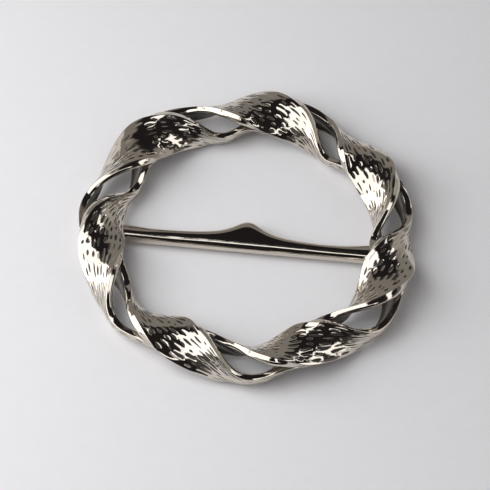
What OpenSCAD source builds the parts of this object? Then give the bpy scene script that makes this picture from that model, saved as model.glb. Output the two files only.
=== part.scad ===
// Scarf ring: a closed metal ribbon that goes round the ring twice while it
// turns, so that two hollow strands lie opposite each other with eye-shaped
// slots between them, and a cross bar with a pointed peak that spans the
// opening. All sizes in millimetres. The ring lies flat, the bar along X.

/* [Ring] */
// Radius of the centre line of the ring
ring_r = 26.6; // [20:0.1:35]
// Thickness of the ribbon
wall = 1.25; // [0.9:0.05:1.4]
// Rise of the domed face over the chord between the two edges of the ribbon
dome = 1.51; // [1:0.01:2]
// Flatness of the dome (2 is a parabola, more is flatter in the middle)
dome_power = 2.38; // [2:0.02:3]
// Share of the face left away at each edge where that edge runs on the underside
trim = 0.72; // [0:0.02:0.76]
// Lean of the cut edges round the slots: share of the half width that the face stands back
rim_back = 0.20; // [0:0.01:0.25]
// The same lean: share of the half width that the hollow side stands out
rim_out = 0.07; // [0:0.01:0.1]
// Sections of the ribbon for each lobe
lobe_steps = 18; // [8:1:20]

/* [Cross bar] */
// Distance of the bar's crown from the middle of the ring, towards the front
bar_front = 0.99; // [0:0.01:4]
// Height of the middle of the bar, from the centre line of the ring
bar_drop = 1.2; // [0:0.05:2]
// Half height of the bar
bar_half_h = 1; // [0.8:0.05:1.6]
// Width of the bar in front of its crown
bar_half_front = 1.35; // [1:0.05:2]
// How far the peak stands out at mid-length
peak_rise = 3.5; // [0:0.1:5]
// Half width of the peak at half its rise
peak_half_w = 3.6; // [2:0.1:6]

/* [Hidden] */

lobes = 7;
turns = 2 * lobes;        // lobe steps along the ribbon until it closes

// Stations round the ring, two for each lobe: a lobe, then the slot after it.
// Columns: angle round the ring, shift of the section outwards, swell of the
// section across the ring.
STATION = [
  [139.5,  0.52,  0.06],
  [113.5, -0.44,  0.03],
  [ 88.8,  0.36,  0.02],
  [ 62.0, -0.35, -0.01],
  [ 38.8,  0.14, -0.02],
  [  9.9, -0.08, -0.05],
  [-10.9,  0.06,  0.02],
  [-38.8,  0.25,  0.09],
  [-62.7, -0.45, -0.03],
  [-89.8,  0.10,  0.01],
  [-115.2, -0.70, -0.02],
  [-142.0,  0.50, -0.15],
  [-166.6, -0.12, -0.05],
  [-195.1, -0.08,  0.06]];

// Path of the trailing edge of the ribbon in the section plane, as waves of
// one full turn (two lobes).
// Columns: order, outward cosine, outward sine, upward cosine, upward sine.
EDGE = [
  [0, -0.22,  0.00,  0.00,  0.00],
  [1, -4.28, -2.14,  1.30, -2.61],
  [2, -0.11,  0.37,  0.62, -0.08],
  [3,  0.07,  0.63, -0.52, -0.40],
  [4, -0.02, -0.22,  0.00,  0.19],
  [5,  0.00, -0.01,  0.02,  0.00]];

// The dome also changes along the turn: share for each lobe, share for each turn
dome_lobe = 0.53;
dome_turn = -0.62;

// The tops of the lobes are flatter. Columns: turn position of the lobe, share
// of the dome's rise left away there, lift of the inner half over the outer half
FLATTER = [
  [ 0, 0.30,  0.00],
  [ 2, 0.30, -0.30],
  [ 4, 0.32,  0.00],
  [ 6, 0.35,  0.00],
  [ 8, 0.15,  0.00],
  [10, 0.40,  0.00],
  [12, 0.38,  0.00]];

// Turn position where the trailing edge is trimmed most, and how narrowly
trim_at = 0.76;
trim_power = 7;

// Turn positions between which the edges lean, and the easing at both ends
lean_from = 0.12;
lean_to = 0.60;
lean_ease = 0.24;

// Places across the ribbon, from its leading to its trailing edge
ACROSS_OUT = [-1, -0.86, -0.62, -0.32, 0, 0.32, 0.62, 0.86, 1];
ACROSS_IN = [1, 0.7, 0.25, -0.25, -0.7, -1];

// Width of the bar behind its crown. Columns: place along the bar, width
BAR_BACK = [
  [-24.4, 1.96],
  [-22.0, 1.79],
  [-19.6, 1.57],
  [-17.0, 1.30],
  [-13.0, 1.32],
  [ -8.8, 1.40],
  [  0.0, 1.40],
  [  9.4, 1.25],
  [ 13.0, 1.15],
  [ 16.7, 1.30],
  [ 20.3, 1.79],
  [ 22.1, 2.20],
  [ 23.5, 2.40]];

// Outline of the bar's section: a round top that slopes to the front, and a
// flat underside. Columns: place across as a share of the width behind the
// crown (positive) or in front of it (negative), height as a share of the half
// height.
BAR_SECTION = [
  [ 1.00, -0.41],
  [ 0.90,  0.20],
  [ 0.68,  0.61],
  [ 0.38,  0.88],
  [ 0.05,  1.00],
  [-0.05,  1.00],
  [-0.30,  0.91],
  [-0.55,  0.70],
  [-0.78,  0.36],
  [-0.94, -0.05],
  [-1.00, -0.49],
  [-0.98, -0.85],
  [-0.86, -1.00],
  [ 0.86, -1.00],
  [ 0.98, -0.85]];
// share of the peak that is flat top; the rest widens the slope behind it
peak_flat = 0.75;
bar_from = BAR_BACK[0][0];
bar_to = BAR_BACK[len(BAR_BACK) - 1][0];
bar_steps = 48;
bar_sides = len(BAR_SECTION);

// ---- ring -----------------------------------------------------------------

// smooth curve through the stations, column c, at lobe position u
function station(i, c) =
  let(n = len(STATION), k = i - n * floor(i / n))
  STATION[k][c] - (c == 0 ? 360 * floor(i / n) : 0);
function along(u, c) =
  let(x = 2 * u, i = floor(x), f = x - i,
      a = station(i - 1, c), b = station(i, c),
      d = station(i + 1, c), e = station(i + 2, c))
  b + 0.5 * f * ((d - a) + f * ((2 * a - 5 * b + 4 * d - e) + f * (3 * (b - d) + e - a)));

// trailing edge at turn position v; the leading edge mirrors it
function wave(v, c) = [for (r = EDGE) r[c] * cos(180 * r[0] * v) + r[c + 1] * sin(180 * r[0] * v)];
function total(list, i = 0) = i < len(list) ? list[i] + total(list, i + 1) : 0;
function trailing(v) = [total(wave(v, 1)), total(wave(v, 3))];
function leading(v) = let(p = trailing(-v)) [-p[0], p[1]];

// lean of the leading edge at turn position v, 0 to 1; the trailing edge mirrors it
function ease(x) = let(c = max(0, min(1, x))) c * c * (3 - 2 * c);
function lean(v) =
  let(w = v - 2 * floor(v / 2), k = w > 1.5 ? w - 2 : w)
  ease((k - lean_from) / lean_ease + 0.5) * ease((lean_to - k) / lean_ease + 0.5);

// nearness of turn position v to the lobe of row k of the table, 0 to 1
function near(v, k) =
  let(d = v - FLATTER[k][0])
  ease(1.35 - abs(d - turns * round(d / turns)) / 0.5);
function kept(v, k = 0) = k < len(FLATTER) ? (1 - FLATTER[k][1] * near(v, k)) * kept(v, k + 1) : 1;
function lift(v, k = 0) = k < len(FLATTER) ? FLATTER[k][2] * near(v, k) + lift(v, k + 1) : 0;

// point of the ribbon in the section plane: v turn position, t place across,
// inner true for the hollow side
function ribbon_point(v, t, swell, inner) =
  let(a = trailing(v), b = leading(v),
      stretch = [1 + swell, 1],
      mid = [for (k = [0:1]) stretch[k] * (a[k] + b[k]) / 2],
      half = [for (k = [0:1]) stretch[k] * (a[k] - b[k]) / 2],
      chord = norm([(a[0] - b[0]) / 2, (a[1] - b[1]) / 2]),
      up = [(a[1] - b[1]) / 2 / chord, -(a[0] - b[0]) / 2 / chord],
      rise = (dome + dome_lobe * cos(360 * v) + dome_turn * cos(180 * v)) * kept(v),
      skew = lift(v),
      s = t * (1 - trim * pow(max(0, cos(180 * (sign(t) * v - trim_at))), trim_power))
          * (1 + (inner ? rim_out : -rim_back) * lean(-sign(t) * v)),
      h = rise * (1 - pow(abs(s), dome_power)) + skew * (s - pow(s, 3)),
      dh = -rise * dome_power * pow(abs(s), dome_power - 1) * sign(s) + skew * (1 - 3 * s * s),
      p = [for (k = [0:1]) mid[k] + half[k] * s + stretch[k] * up[k] * h],
      g = [for (k = [0:1]) half[k] + stretch[k] * up[k] * dh],
      n = [g[1], -g[0]] / norm(g))
  inner ? p - wall * n : p;

function place(u, q) =
  let(th = along(u, 0), r = ring_r + q[0] + along(u, 1))
  [r * cos(th), r * sin(th), q[1]];

section_n = len(ACROSS_OUT) + len(ACROSS_IN);
ring_n = turns * lobe_steps;
ring_points = [for (i = [0:ring_n - 1])
  let(u = i / lobe_steps, s = along(u, 2))
  each concat([for (t = ACROSS_OUT) place(u, ribbon_point(u, t, s, false))],
              [for (t = ACROSS_IN) place(u, ribbon_point(u, t, s, true))])];
ring_faces = [for (i = [0:ring_n - 1]) for (j = [0:section_n - 1])
  let(a = i * section_n, b = ((i + 1) % ring_n) * section_n, k = (j + 1) % section_n)
  each [[a + j, b + j, b + k], [a + j, b + k, a + k]]];

// ---- cross bar ------------------------------------------------------------

function peak(x) = peak_rise / (1 + pow(x / peak_half_w, 2));
bar_points = [for (i = [0:bar_steps])
  let(x = bar_from + (bar_to - bar_from) * i / bar_steps,
      back = lookup(x, BAR_BACK) + (1 - peak_flat) * peak(x))
  each [for (q = BAR_SECTION)
    [x, -bar_front + (q[0] > 0 ? peak_flat * peak(x) + back * q[0] : bar_half_front * q[0]),
     -bar_drop + bar_half_h * q[1]]]];
bar_faces = concat(
  [[for (k = [0:bar_sides - 1]) k]],
  [[for (k = [bar_sides - 1:-1:0]) bar_steps * bar_sides + k]],
  [for (i = [0:bar_steps - 1]) for (k = [0:bar_sides - 1])
    let(a = i * bar_sides, b = a + bar_sides, m = (k + 1) % bar_sides)
    each [[a + k, b + k, b + m], [a + k, b + m, a + m]]]);

// ---- placing --------------------------------------------------------------

function least(c) = min([for (p = ring_points) p[c]]);
function most(c) = max([for (p = ring_points) p[c]]);
origin = [(least(0) + most(0)) / 2, (least(1) + most(1)) / 2, least(2)];

// the twisted ribbon and the bar soldered into it, one piece of metal
module scarf_ring() {
  color("Silver")
    translate(-origin)
      union() {
        polyhedron(points = ring_points, faces = ring_faces, convexity = 8);
        polyhedron(points = bar_points, faces = bar_faces, convexity = 4);
      }
}

scarf_ring();
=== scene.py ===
import math
import random

import bpy
import numpy as np
from mathutils import Matrix, Vector


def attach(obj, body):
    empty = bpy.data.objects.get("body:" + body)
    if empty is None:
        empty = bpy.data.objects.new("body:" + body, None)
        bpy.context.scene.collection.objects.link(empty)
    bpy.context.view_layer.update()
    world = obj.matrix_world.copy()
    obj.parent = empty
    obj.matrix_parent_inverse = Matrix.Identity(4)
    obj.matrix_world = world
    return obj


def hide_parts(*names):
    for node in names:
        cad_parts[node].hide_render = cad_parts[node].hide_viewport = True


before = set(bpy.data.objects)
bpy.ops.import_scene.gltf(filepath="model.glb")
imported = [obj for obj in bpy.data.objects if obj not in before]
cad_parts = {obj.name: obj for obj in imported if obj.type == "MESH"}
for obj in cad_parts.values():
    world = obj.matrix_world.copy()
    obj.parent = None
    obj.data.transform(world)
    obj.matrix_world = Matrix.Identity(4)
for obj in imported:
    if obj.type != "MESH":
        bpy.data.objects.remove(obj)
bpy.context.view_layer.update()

MM = 0.001

# ---------------------------------------------------------------------------
# Shape numbers, the same as in the part's source, in millimetres and degrees
# ---------------------------------------------------------------------------
RING_R = 26.6
WALL = 1.25
DOME, DOME_POWER, DOME_LOBE, DOME_TURN = 1.51, 2.38, 0.53, -0.62
TRIM, TRIM_AT, TRIM_POWER = 0.72, 0.76, 7
# lobes whose top is flatter: lobe position, share of the dome's rise left away, lift of
# the inner half over the outer half
FLATTER = [(0.0, 0.30, 0.0), (2.0, 0.30, -0.30), (4.0, 0.32, 0.0), (6.0, 0.35, 0.0), (8.0, 0.15, 0.0),
           (10.0, 0.40, 0.0), (12.0, 0.38, 0.0)]
RIM_BACK, RIM_OUT, LEAN_FROM, LEAN_TO, LEAN_EASE = 0.20, 0.07, 0.12, 0.60, 0.24
TURNS = 14                     # lobe steps along the ribbon until it closes
# angle round the ring, shift outwards, swell across; two stations for each lobe
STATION = np.array([
    [139.5, 0.52, 0.06], [113.5, -0.44, 0.03], [88.8, 0.36, 0.02], [62.0, -0.35, -0.01],
    [38.8, 0.14, -0.02], [9.9, -0.08, -0.05], [-10.9, 0.06, 0.02], [-38.8, 0.25, 0.09],
    [-62.7, -0.45, -0.03], [-89.8, 0.10, 0.01], [-115.2, -0.70, -0.02], [-142.0, 0.50, -0.15],
    [-166.6, -0.12, -0.05], [-195.1, -0.08, 0.06]])
# path of the trailing edge: order, outward cosine and sine, upward cosine and sine
EDGE = [(0, -0.22, 0.00, 0.00, 0.00), (1, -4.28, -2.14, 1.30, -2.61),
        (2, -0.11, 0.37, 0.62, -0.08), (3, 0.07, 0.63, -0.52, -0.40),
        (4, -0.02, -0.22, 0.00, 0.19), (5, 0.00, -0.01, 0.02, 0.00)]
BAR_FRONT, BAR_DROP, BAR_HALF_H, BAR_HALF_FRONT = 0.99, 1.2, 1.0, 1.35
PEAK_RISE, PEAK_HALF_W, PEAK_FLAT = 3.5, 3.6, 0.75
BAR_BACK = np.array([
    [-24.4, 1.96], [-22.0, 1.79], [-19.6, 1.57], [-17.0, 1.30], [-13.0, 1.32],
    [-8.8, 1.40], [0.0, 1.40], [9.4, 1.25], [13.0, 1.15], [16.7, 1.30],
    [20.3, 1.79], [22.1, 2.20], [23.5, 2.40]])
# the bar's section: tilt of the surface (towards the front positive) and radius there
BAR_TILT = [-90, -20, 0, 30, 33.5, 38.5, 42, 50, 62, 90]
BAR_RADIUS = [1.84, 1.70, 1.22, 1.22, 4.6, 4.6, 2.7, 2.5, 1.50, 1.20]
# how far the bright middle of its front slope lies towards the front, along the bar
BAR_SLOPE = np.array([[-24.4, 0.10], [-15.5, 0.15], [-12.0, 0.13], [-8.6, 0.06], [-5.2, 0.03],
                      [5.2, 0.02], [8.6, 0.04], [12.0, 0.06], [15.5, 0.09], [23.5, 0.09]])


def station(i, c):
    n = len(STATION)
    return STATION[i % n, c] - (360.0 * (i // n) if c == 0 else 0.0)


def along(u, c):
    """smooth curve through the stations, column c, at lobe position u"""
    x = 2 * np.asarray(u, float)
    i = np.floor(x).astype(int)
    f = x - i
    a, b, d, e = station(i - 1, c), station(i, c), station(i + 1, c), station(i + 2, c)
    return b + 0.5 * f * ((d - a) + f * ((2 * a - 5 * b + 4 * d - e) + f * (3 * (b - d) + e - a)))


def trailing(v):
    r = z = 0
    for o, rc, rs, zc, zs in EDGE:
        c, s = np.cos(np.pi * o * v), np.sin(np.pi * o * v)
        r, z = r + rc * c + rs * s, z + zc * c + zs * s
    return r, z


def leading(v):
    r, z = trailing(-v)
    return -r, z


def smooth01(x):
    x = np.clip(x, 0.0, 1.0)
    return x * x * (3 - 2 * x)


def lean(v):
    """lean of the leading edge's cut face at turn position v; the trailing edge mirrors it"""
    k = np.asarray(v, float) % 2
    k = np.where(k > 1.5, k - 2, k)
    return smooth01((k - LEAN_FROM) / LEAN_EASE + 0.5) * smooth01((LEAN_TO - k) / LEAN_EASE + 0.5)


def strip(u, t, inner=False):
    """face in the section plane: point, unit outward normal, unit tangent towards +t; inner
    for the points of the face that lie over the hollow side's points"""
    u, t = np.broadcast_arrays(np.asarray(u, float), np.asarray(t, float))
    s = along(u, 2)
    (ar, az), (br, bz) = trailing(u), leading(u)
    mr, mz = (1 + s) * (ar + br) / 2, (az + bz) / 2
    dr, dz = (ar - br) / 2, (az - bz) / 2
    hr, hz = (1 + s) * dr, dz
    chord = np.hypot(dr, dz)
    ur, uz = (1 + s) * dz / chord, -dr / chord
    rise = DOME + DOME_LOBE * np.cos(2 * np.pi * u) + DOME_TURN * np.cos(np.pi * u)
    t = t * (1 - TRIM * np.maximum(0, np.cos(np.pi * (np.sign(t) * u - TRIM_AT))) ** TRIM_POWER) \
        * (1 + (RIM_OUT if inner else -RIM_BACK) * lean(-np.sign(t) * u))
    skew = 0 * u
    for at, less, more in FLATTER:
        near = smooth01(1.35 - np.abs((u - at + 7) % 14 - 7) / 0.5)
        rise, skew = rise * (1 - less * near), skew + more * near
    h = rise * (1 - np.abs(t) ** DOME_POWER) + skew * (t - t ** 3)
    dh = -rise * DOME_POWER * np.abs(t) ** (DOME_POWER - 1) * np.sign(t) + skew * (1 - 3 * t * t)
    gr, gz = hr + ur * dh, hz + uz * dh
    g = np.hypot(gr, gz)
    return (np.stack([mr + hr * t + ur * h, mz + hz * t + uz * h], -1),
            np.stack([gz / g, -gr / g], -1), np.stack([gr / g, gz / g], -1))


def place(u, q):
    """section point (outward, up) to a point of the ring, from the middle of the ring"""
    th = np.radians(along(u, 0))
    r = RING_R + q[..., 0] + along(u, 1)
    return np.stack([r * np.cos(th), r * np.sin(th), q[..., 1] + 0 * r], -1)


def source_origin():
    """where the part's own origin lies, from the middle of the ring"""
    u = (np.arange(252) / 18.0)[:, None]
    t_out = np.array([-1, -0.86, -0.62, -0.32, 0, 0.32, 0.62, 0.86, 1])[None]
    t_in = np.array([1, 0.7, 0.25, -0.25, -0.7, -1])[None]
    p, _, _ = strip(u, t_out)
    q, n, _ = strip(u, t_in, True)
    a = np.concatenate([place(u, p), place(u, q - WALL * n)], 1).reshape(-1, 3)
    lo, hi = a.min(0), a.max(0)
    return np.array([(lo[0] + hi[0]) / 2, (lo[1] + hi[1]) / 2, lo[2]])


ORIGIN = source_origin()


def make_mesh(name, points, quads, extra=(), marks=None):
    """closed smooth mesh; marks are named values at the points, for the material"""
    faces = [tuple(int(i) for i in q) for q in quads] + [tuple(f) for f in extra]
    me = bpy.data.meshes.new(name)
    me.from_pydata([tuple(p) for p in points], [], faces)
    me.polygons.foreach_set("use_smooth", [True] * len(me.polygons))
    me.update()
    for key, values in (marks or {}).items():
        layer = me.attributes.new(key, "FLOAT", "POINT")
        layer.data.foreach_set("value", np.ascontiguousarray(values, dtype=np.float32).ravel())
    ob = bpy.data.objects.new(name, me)
    bpy.context.scene.collection.objects.link(ob)
    return ob


# ---------------------------------------------------------------------------
# Twisted ribbon with rounded rims and engraved dashes
# ---------------------------------------------------------------------------
ROWS = TURNS * 96
LANES = 8                      # rows of dashes side by side across the face
LAND = 0.50                    # plain land between the dashes and the rim
RIM_ROUND = 0.14               # rounding of the rim towards the engraved face
RIM_ROUND_IN = 0.12            # rounding of the rim towards the hollow side
RIM_SWELL = 0.26               # how far the rim bulges where it leans, nearer the hollow side
STROKE_TOP, STROKE_BOTTOM = 0.27, 0.16   # half widths of a dash, in shares of a lane
CUT_DEPTH, DENT_DEPTH = 0.040, 0.010     # depth of a dash and of the soft dent round it
rng = random.Random(4711)


def dashes(length, narrow):
    """one lane of dashes along a closed length: [start, end, depth, sideways shift, breadth];
    longer ones where the ribbon is narrow"""
    out, s = [], rng.uniform(0.0, 2.0)
    while s < length - 2.0:
        d = rng.choice([0.8, 1.1, 1.4, 1.8]) + rng.uniform(-0.15, 0.25)
        d = min(d * (1 + 0.9 * float(narrow(s))), length - 0.3 - s)
        depth = rng.choice([0.3, 0.6, 0.85, 1.0, 1.0, 1.15])
        out.append([s, s + d, depth, rng.uniform(-0.20, 0.20), rng.uniform(0.6, 1.3)])
        s += d + rng.uniform(0.45, 1.45)
    return out


def lane_profile(list_, s, length):
    """depth of the cut, depth of the soft dent round it, sideways shift and breadth of the
    cut along one lane; each dash is widest in its middle and runs out at both ends"""
    cut, dent, broad = np.zeros_like(s), np.zeros_like(s), np.full_like(s, 0.4)
    mids, shifts = [], []
    for s0, s1, depth, shift, breadth in list_:
        for k in (-1, 0, 1):
            a, b = s0 + k * length, s1 + k * length
            cut = np.maximum(cut, depth * smooth01((s - a) / 0.30) * smooth01((b - s) / 0.30))
            dent = np.maximum(dent, depth * smooth01((s - a + 0.35) / 0.8)
                              * smooth01((b + 0.35 - s) / 0.8))
            middle = np.sin(np.pi * np.clip((s - a) / (b - a), 0, 1)) ** 0.6
            broad = np.maximum(broad, breadth * middle)
            mids += [a + 0.25 * (b - a), b - 0.25 * (b - a)]
            shifts += [shift, shift + 0.0]
    order = np.argsort(mids)
    move = np.interp(s, np.array(mids)[order], np.array(shifts)[order])
    return cut, dent, move, broad


def build_ribbon():
    u = np.arange(ROWS) * (TURNS / ROWS)
    mid, _, _ = strip(u, np.zeros(ROWS))
    line = place(u, mid)
    step = np.linalg.norm(np.roll(line, -1, 0) - line, axis=1)
    s = np.concatenate([[0.0], np.cumsum(step)[:-1]])
    length = float(step.sum())

    # arc length across the face, to turn millimetres across into t
    tt = np.linspace(-1, 1, 241)
    pf, _, _ = strip(u[:, None], tt[None])
    w = np.concatenate([np.zeros((ROWS, 1)),
                        np.cumsum(np.linalg.norm(np.diff(pf, axis=1), axis=2), 1)], 1)
    width = w[:, -1]
    land = LAND * np.clip(width / 8.0, 0.6, 1.0)
    pitch = (width - 2 * land) / LANES

    slim = np.clip(1.6 - 1.6 * width / width.max(), 0, 1)
    lanes = [lane_profile(dashes(length, lambda at: np.interp(at, s, slim)), s, length)
             for _ in range(LANES)]
    cols, depth = [np.full(ROWS, RIM_ROUND)], [np.zeros(ROWS)]
    dash_shade_share = {}
    for i in range(LANES):
        cut, dent, move, broad = lanes[i]
        before = lanes[i - 1][2] if i else np.zeros(ROWS)
        edge_move = 0.5 * (before + move) if i else 0.0 * move
        cols.append(land + (i + edge_move) * pitch)
        depth.append(np.zeros(ROWS))
        centre = land + (i + 0.5 + move) * pitch
        small = np.clip(pitch / 0.9, 0.55, 1.1)
        for off in (-STROKE_TOP, -STROKE_BOTTOM, STROKE_BOTTOM, STROKE_TOP):
            cols.append(centre + off * broad * pitch)
            deep = DENT_DEPTH * dent
            if abs(off) == STROKE_BOTTOM:
                deep = deep + CUT_DEPTH * cut
                # share of painted shade that the bottom columns of this dash get in the material
                dash_shade_share[len(cols) - 1] = cut * np.clip(pitch / 0.85, 0.45, 1.0)
            depth.append(deep * small)
    cols.append(width - land)
    depth.append(np.zeros(ROWS))
    cols.append(width - RIM_ROUND)
    depth.append(np.zeros(ROWS))
    cols, depth = np.stack(cols, 1), np.stack(depth, 1)

    # faint unevenness of a cast and hand-polished face
    waves = [(0.9, 0.7, 0.016), (1.7, -1.1, 0.010), (2.6, 1.9, 0.006)]
    waves += [(rng.uniform(0.7, 2.4) * rng.choice([-1, 1]), rng.uniform(1.8, 4.6), 0.0030)
              for _ in range(10)]
    for ws, wc, amp in waves:
        n = round(ws * length / (2 * math.pi))
        depth = depth + amp * np.sin(2 * math.pi * n * s[:, None] / length + wc * cols
                                     + rng.uniform(0, 6.28)) \
            * np.clip(np.minimum(cols, width[:, None] - cols) / 1.0, 0, 1)

    t = np.stack([np.interp(cols[i], w[i], tt) for i in range(ROWS)])
    p, n, _ = strip(u[:, None], t)
    face = p - depth[..., None] * n

    def fillet(c, i, o, r, steps):
        """points of a rounded corner at c, from direction i to direction o"""
        cosine = np.clip((i * o).sum(-1, keepdims=True), -1, 1)
        turn = np.arccos(cosine)
        m = o - cosine * i
        m = m / np.maximum(np.linalg.norm(m, axis=-1, keepdims=True), 1e-9)
        start = c - r * np.tan(turn / 2) * i
        return [start + r * (np.sin(k * turn) * i + (1 - np.cos(k * turn)) * m) for k in steps]

    def rim(t_end, inward_first):
        """section points of one rim, from the engraved face to the hollow side"""
        a, _, ta = strip(u, np.full(ROWS, float(t_end)))
        b, nb, tb = strip(u, np.full(ROWS, float(t_end)), True)
        b = b - WALL * nb
        d = (b - a) / np.linalg.norm(b - a, axis=-1, keepdims=True)
        swell = RIM_SWELL * lean(-t_end * u)[:, None] ** 3
        side = ta * t_end - (ta * t_end * d).sum(-1, keepdims=True) * d
        side = side / np.linalg.norm(side, axis=-1, keepdims=True)
        out = fillet(a, ta * t_end, d, RIM_ROUND, (1 / 3, 2 / 3, 1))
        out += [a + k * (b - a) + h * swell * side for k, h in ((0.40, 0.56), (0.76, 1.0))]
        out += fillet(b, d, -tb * t_end, RIM_ROUND_IN, (0, 1 / 2, 1))
        return out if inward_first else out[::-1]

    t_in = [0.75, 0.45, 0.15, -0.15, -0.45, -0.75]
    inner = []
    for ti in t_in:
        q, nn, _ = strip(u, np.full(ROWS, ti), True)
        inner.append(q - WALL * nn)
    section = [face[:, j] for j in range(face.shape[1])] + rim(1, True) + inner + rim(-1, False)
    section = np.stack(section, 1)
    pts = (place(np.broadcast_to(u[:, None], section.shape[:2]), section) - ORIGIN) * MM

    m = section.shape[1]
    # values for the painted shade in the dashes' bottoms and on the hollow side
    dash_painted_shade, hollow_painted_shade = np.zeros((ROWS, m)), np.zeros((ROWS, m))
    for j, cut in dash_shade_share.items():
        dash_painted_shade[:, j] = cut
    n_face, n_rim = face.shape[1], 8
    # painted shade on the hollow side, weaker at the rims' inner corners
    hollow_painted_shade[:, n_face + n_rim:n_face + n_rim + len(t_in)] = 1.0
    hollow_painted_shade[:, [n_face + n_rim - 1, n_face + n_rim + len(t_in)]] = 1.0
    hollow_painted_shade[:, [n_face + n_rim - 2, n_face + n_rim + len(t_in) + 1]] = 0.4
    i, j = np.meshgrid(np.arange(ROWS), np.arange(m), indexing="ij")
    i2, j2 = (i + 1) % ROWS, (j + 1) % m
    quads = np.stack([i * m + j, i * m + j2, i2 * m + j2, i2 * m + j], -1).reshape(-1, 4)
    flat = pts.reshape(-1, 3)
    a, b, c, d = (flat[quads[:, k]] for k in range(4))
    if np.einsum("ij,ij->i", a, np.cross(b, c) + np.cross(c, d)).sum() < 0:
        quads = quads[:, ::-1]
    return make_mesh("twisted_ribbon", flat, quads,
                     marks={"engraved": dash_painted_shade, "hollow": hollow_painted_shade})


# ---------------------------------------------------------------------------
# Cross bar
# ---------------------------------------------------------------------------
def bar_outline(n=34):
    """section of the bar as shares: across (behind the crown positive), height"""
    a = np.radians(np.linspace(-90, 90, 721))
    r = np.interp(np.degrees(a), BAR_TILT, BAR_RADIUS)
    da = a[1] - a[0]
    y = np.concatenate([[0], np.cumsum(-(r * np.cos(a))[1:] * da)])
    z = np.concatenate([[0], np.cumsum(-(r * np.sin(a))[1:] * da)])
    y, z = y - y[360], (z - z[360]) / 1.25
    y = np.where(y > 0, y / y[0], -y / y[-1])
    pick = np.unique(np.concatenate([np.linspace(0, 720, n).round().astype(int), [360]]))
    top = [(y[i], 1 + z[i]) for i in pick]
    front = [(-1 + 0.16 * (1 - math.cos(q)), -0.80 - 0.20 * math.sin(q))
             for q in np.radians([0, 30, 60, 90])]
    flat = [(v, -1.0) for v in (-0.4, 0.0, 0.4)]
    return top + front + flat + [(-p[0], p[1]) for p in front[::-1]]


def build_bar(steps=240):
    x = np.linspace(BAR_BACK[0, 0], BAR_BACK[-1, 0], steps + 1)
    back = np.interp(x, BAR_BACK[:, 0], BAR_BACK[:, 1])
    for _ in range(60):        # ease the corners of the width table
        back[1:-1] = 0.25 * back[:-2] + 0.5 * back[1:-1] + 0.25 * back[2:]
    peak = PEAK_RISE / (1 + (x / PEAK_HALF_W) ** 2)
    back = back + (1 - PEAK_FLAT) * peak
    crown = 0.38 * smooth01((-13.5 - x) / 7.0)     # crown drawn to the front at the left end
    slope = np.interp(x, BAR_SLOPE[:, 0], BAR_SLOPE[:, 1])
    section = []
    for across, height in bar_outline():
        if abs(across) < 1e-9 and height > 0.99:      # the flat top of the peak
            section += [(0.0, f, 1.0) for f in (1.0, 0.75, 0.5, 0.25, 0.0)]
        else:
            section.append((across, 1.0 if across > 0 else 0.0, height))
    sides = len(section)
    pts = []
    for k in range(steps + 1):
        for across, f, height in section:
            w = back[k] + crown[k] if across > 0 else BAR_HALF_FRONT - crown[k]
            rise = 0.05 * peak[k] / PEAK_RISE * 4 * f * (1 - f)
            lower = slope[k] * math.sin(math.pi * across) if -1 < across < 0 < height + 0.8 else 0.0
            pts.append((x[k], -BAR_FRONT - crown[k] + f * PEAK_FLAT * peak[k] + w * across + lower,
                        -BAR_DROP + BAR_HALF_H * height + rise))
    pts = (np.array(pts) - ORIGIN) * MM
    i, j = np.meshgrid(np.arange(steps), np.arange(sides), indexing="ij")
    j2 = (j + 1) % sides
    quads = np.stack([i * sides + j, (i + 1) * sides + j, (i + 1) * sides + j2, i * sides + j2], -1)
    caps = [list(range(sides)), [steps * sides + k for k in range(sides - 1, -1, -1)]]
    return make_mesh("cross_bar", pts, quads.reshape(-1, 4), caps)


# ---------------------------------------------------------------------------
# Node helpers and materials
# ---------------------------------------------------------------------------
class Tree:
    def __init__(self, tree):
        self.t = tree
        tree.nodes.clear()

    def add(self, kind, **props):
        n = self.t.nodes.new(kind)
        for k, v in props.items():
            setattr(n, k, v)
        return n

    def link(self, a, b):
        self.t.links.new(a, b)

    def value(self, sock, v):
        if isinstance(v, bpy.types.NodeSocket):
            self.link(v, sock)
        else:
            sock.default_value = v

    def math(self, op, a, b=None, clamp=False):
        n = self.add("ShaderNodeMath", operation=op, use_clamp=clamp)
        self.value(n.inputs[0], a)
        if b is not None:
            self.value(n.inputs[1], b)
        return n.outputs[0]

    def ramp(self, v, a, b, lo=0.0, hi=1.0, kind="SMOOTHSTEP"):
        n = self.add("ShaderNodeMapRange", interpolation_type=kind)
        self.value(n.inputs["Value"], v)
        n.inputs["From Min"].default_value = a
        n.inputs["From Max"].default_value = b
        n.inputs["To Min"].default_value = lo
        n.inputs["To Max"].default_value = hi
        return n.outputs["Result"]

    def mix(self, f, a, b):
        n = self.add("ShaderNodeMix", data_type="RGBA")
        self.value(n.inputs["Factor"], f)
        self.value(n.inputs[6], a)
        self.value(n.inputs[7], b)
        return n.outputs[2]

    def noise(self, vec, scale, detail=3.0, rough=0.5):
        n = self.add("ShaderNodeTexNoise")
        if vec is not None:
            self.link(vec, n.inputs["Vector"])
        n.inputs["Scale"].default_value = scale
        n.inputs["Detail"].default_value = detail
        n.inputs["Roughness"].default_value = rough
        return n.outputs["Fac"]


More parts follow.
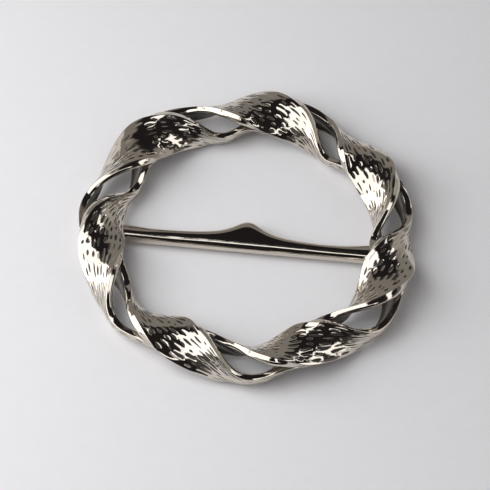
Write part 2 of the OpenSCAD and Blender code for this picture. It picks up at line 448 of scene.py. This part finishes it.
def metal(name, ripple, scratch, painted_shade=False):
    """polished plating: slight tint changes, fine polishing marks and a soft ripple"""
    m = bpy.data.materials.new(name)
    m.use_nodes = True
    t = Tree(m.node_tree)
    out = t.add("ShaderNodeOutputMaterial")
    bs = t.add("ShaderNodeBsdfPrincipled")
    t.link(bs.outputs[0], out.inputs["Surface"])
    pos = t.add("ShaderNodeTexCoord").outputs["Object"]
    cloud = t.noise(pos, 180.0, 4.0, 0.6)
    tint = t.mix(t.ramp(cloud, 0.35, 0.7), (0.705, 0.65, 0.575, 1), (0.645, 0.59, 0.515, 1))
    if painted_shade:
        # painted shade: a dark, rough colour with little metal in the engraved dashes, and a dark
        # grey on the hollow side
        cut = t.add("ShaderNodeAttribute", attribute_name="engraved").outputs["Fac"]
        cut = t.ramp(cut, 0.10, 0.60)
        tint = t.mix(cut, tint, (0.036, 0.031, 0.026, 1))
        # painted shade: a dark grey colour over the hollow side of the ribbon
        hollow = t.add("ShaderNodeAttribute", attribute_name="hollow").outputs["Fac"]
        tint = t.mix(hollow, tint, (0.20, 0.19, 0.175, 1))
    t.link(tint, bs.inputs["Base Color"])
    bs.inputs["Metallic"].default_value = 1.0
    fine = t.noise(pos, 900.0, 5.0, 0.65)
    rough = t.ramp(fine, 0.3, 0.8, 0.045, 0.13, "LINEAR")
    if painted_shade:
        rough = t.math("MAXIMUM", rough, t.math("MULTIPLY", hollow, 0.34))
        rough = t.math("MAXIMUM", rough, t.math("MULTIPLY", cut, 0.55))
        t.link(t.math("SUBTRACT", 1.0, t.math("MULTIPLY", cut, 0.8)), bs.inputs["Metallic"])
    t.link(rough, bs.inputs["Roughness"])
    wave = t.noise(pos, 420.0, 2.0, 0.5)
    b1 = t.add("ShaderNodeBump")
    b1.inputs["Strength"].default_value = ripple
    b1.inputs["Distance"].default_value = 0.00006
    t.link(wave, b1.inputs["Height"])
    marks = t.noise(pos, 5200.0, 2.0, 0.5)
    b2 = t.add("ShaderNodeBump")
    b2.inputs["Strength"].default_value = scratch
    b2.inputs["Distance"].default_value = 0.000006
    t.link(marks, b2.inputs["Height"])
    t.link(b1.outputs[0], b2.inputs["Normal"])
    t.link(b2.outputs[0], bs.inputs["Normal"])
    return m


ribbon = build_ribbon()
bar = build_bar()
ribbon.data.materials.append(metal("polished_ribbon", 0.25, 0.15, painted_shade=True))
bar.data.materials.append(metal("polished_bar", 0.35, 0.15))
for piece in (ribbon, bar):
    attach(piece, "root")
    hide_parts("scarf_ring")

# the hidden node gets the same finish
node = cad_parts["scarf_ring"]
node.data.materials.clear()
node.data.materials.append(metal("polished_metal", 0.25, 0.15))

# ---------------------------------------------------------------------------
# Floor
# ---------------------------------------------------------------------------
FLOOR_HALF = 1.6
fm = bpy.data.meshes.new("floor")
fm.from_pydata([(-FLOOR_HALF, -FLOOR_HALF, 0), (FLOOR_HALF, -FLOOR_HALF, 0),
                (FLOOR_HALF, FLOOR_HALF, 0), (-FLOOR_HALF, FLOOR_HALF, 0)], [], [(0, 1, 2, 3)])
floor = bpy.data.objects.new("floor", fm)
bpy.context.scene.collection.objects.link(floor)
fmat = bpy.data.materials.new("floor_paper")
fmat.use_nodes = True
t = Tree(fmat.node_tree)
out = t.add("ShaderNodeOutputMaterial")
bs = t.add("ShaderNodeBsdfPrincipled")
t.link(bs.outputs[0], out.inputs["Surface"])
pos = t.add("ShaderNodeTexCoord").outputs["Object"]
mottle = t.noise(pos, 350.0, 5.0, 0.6)
t.link(t.mix(mottle, (0.79, 0.785, 0.805, 1), (0.83, 0.825, 0.845, 1)), bs.inputs["Base Color"])
bs.inputs["Roughness"].default_value = 0.9
bs.inputs["Specular IOR Level"].default_value = 0.2
floor.data.materials.append(fmat)

# ---------------------------------------------------------------------------
# Light: a dark room with a large soft panel on the left, a narrow one on the
# right, a low one in front and a grey wall behind
# ---------------------------------------------------------------------------
world = bpy.data.worlds.new("studio")
bpy.context.scene.world = world
world.use_nodes = True
t = Tree(world.node_tree)
out = t.add("ShaderNodeOutputWorld")
bg = t.add("ShaderNodeBackground")
t.link(bg.outputs[0], out.inputs["Surface"])
sep = t.add("ShaderNodeSeparateXYZ")
t.link(t.add("ShaderNodeTexCoord").outputs["Generated"], sep.inputs[0])
dx, dy, dz = sep.outputs
slant = t.math("ADD", dy, t.math("MULTIPLY", dx, 0.72))
wall = t.math("MULTIPLY", t.math("MULTIPLY", t.ramp(dz, 0.69, 0.60), t.ramp(dy, 0.05, 0.35)),
              t.math("MAXIMUM", t.ramp(dx, 0.30, 0.15), t.ramp(slant, 0.78, 0.90)))
side = t.math("MULTIPLY", t.ramp(dz, 0.45, 0.30), t.ramp(dy, -0.9, -0.5))
front = t.math("MULTIPLY", t.ramp(dy, -0.50, -0.62), t.ramp(dx, -0.08, -0.25))
pale = t.math("MULTIPLY", t.math("MULTIPLY", t.ramp(dz, 0.72, 0.50), t.ramp(dx, 0.50, 0.75)),
              t.ramp(slant, 0.80, 0.92))
grey = t.math("MAXIMUM", t.math("MAXIMUM", wall, t.math("MULTIPLY", side, 0.5)),
              t.math("MULTIPLY", front, 0.28))
room = t.mix(grey, (0.016, 0.014, 0.015, 1), (0.25, 0.235, 0.22, 1))
t.link(t.mix(pale, room, (0.41, 0.395, 0.375, 1)), bg.inputs["Color"])


def panel(name, centre, size, power, along=None, toward=(0, 0, 0), mirrored=True):
    """rectangular soft light facing the ring; its first side runs level, or as near as
    can be to the direction given; power is its brightness, not watts"""
    l = bpy.data.lights.new(name, "AREA")
    l.shape = "RECTANGLE"
    l.size, l.size_y = size
    l.energy = power * size[0] * size[1] * math.pi
    o = bpy.data.objects.new(name, l)
    c, a = Vector(centre), Vector(toward)
    z = (c - a).normalized()
    x = Vector(along) if along else Vector((0, 0, 1)).cross(z)
    x = (x - z * x.dot(z)).normalized()
    y = z.cross(x)
    o.matrix_world = Matrix.Translation(c) @ Matrix((x, y, z)).transposed().to_4x4()
    bpy.context.scene.collection.objects.link(o)
    o.visible_camera = False
    o.visible_glossy = mirrored
    return o


panel("left_high", (-0.283, -0.133, 0.473), (0.595, 0.450), 1.7, along=(0, 1, 0),
      toward=(-0.025, -0.133, -0.013))
panel("left_edge", (-0.066, -0.265, 0.588), (0.27, 0.055), 1.4, along=(0, 1, 0),
      toward=(0.192, -0.265, 0.102))
panel("left_low", (-0.477, -0.050, 0.152), (0.54, 0.322), 2.4, along=(0, 1, 0),
      toward=(-0.005, -0.050, -0.013))
panel("left_back", (-0.520, 0.320, 0.080), (0.24, 0.14), 0.5)
panel("right_strip", (0.476, -0.110, 0.345), (0.55, 0.135), 1.45, along=(0.330, -0.633, -0.724))
panel("right_back", (0.289, 0.285, 0.420), (0.28, 0.06), 1.4, along=(0.222, 0.016, -0.165))
panel("right_low", (0.480, -0.225, 0.060), (0.12, 0.08), 1.2)
panel("front_panel", (0.040, -0.350, 0.425), (0.27, 0.070), 1.6)
panel("front_side", (0.204, -0.357, 0.365), (0.09, 0.140), 1.4)
panel("front_low", (-0.300, -0.451, 0.110), (0.30, 0.100), 0.40)
# soft fill for the floor, kept out of the metal's reflections
panel("left_fill", (-0.180, -0.020, 0.170), (0.20, 0.20), 2.25, mirrored=False)

# ---------------------------------------------------------------------------
# Camera
# ---------------------------------------------------------------------------
el, az = math.radians(56.3), math.radians(-4.91)
px_mm, near = 5.51332, 0.00129258
dist = MM / near
focal_px = px_mm / near
fwd = Vector((math.sin(az) * math.cos(el), math.cos(az) * math.cos(el), -math.sin(el)))
right = fwd.cross(Vector((0, 0, 1))).normalized()
up = right.cross(fwd)
centre = Vector([-v * MM for v in ORIGIN])
base = Matrix((right, up, -fwd)).transposed()
roll = Matrix.Rotation(math.radians(1.189), 3, "Z")
# the ring's middle is seen a little right of and above the middle of the frame
ray = Vector(((246.779 - 245.0) / focal_px, (245.0 - 235.831) / focal_px, -1.0)).normalized()
aim = ray.rotation_difference(Vector((0, 0, -1))).to_matrix()
cam_data = bpy.data.cameras.new("camera")
cam_data.sensor_width = 36.0
cam_data.lens = 36.0 * focal_px / 490.0
cam_data.clip_start = 0.05
cam_data.clip_end = 20.0
cam = bpy.data.objects.new("camera", cam_data)
cam.matrix_world = Matrix.Translation(centre - fwd * dist) @ (base @ roll @ aim).to_4x4()
bpy.context.scene.collection.objects.link(cam)
bpy.context.scene.camera = cam

vs = bpy.context.scene.view_settings
vs.view_transform = "Standard"
vs.look = "None"
vs.exposure = 0.0
vs.gamma = 1.0
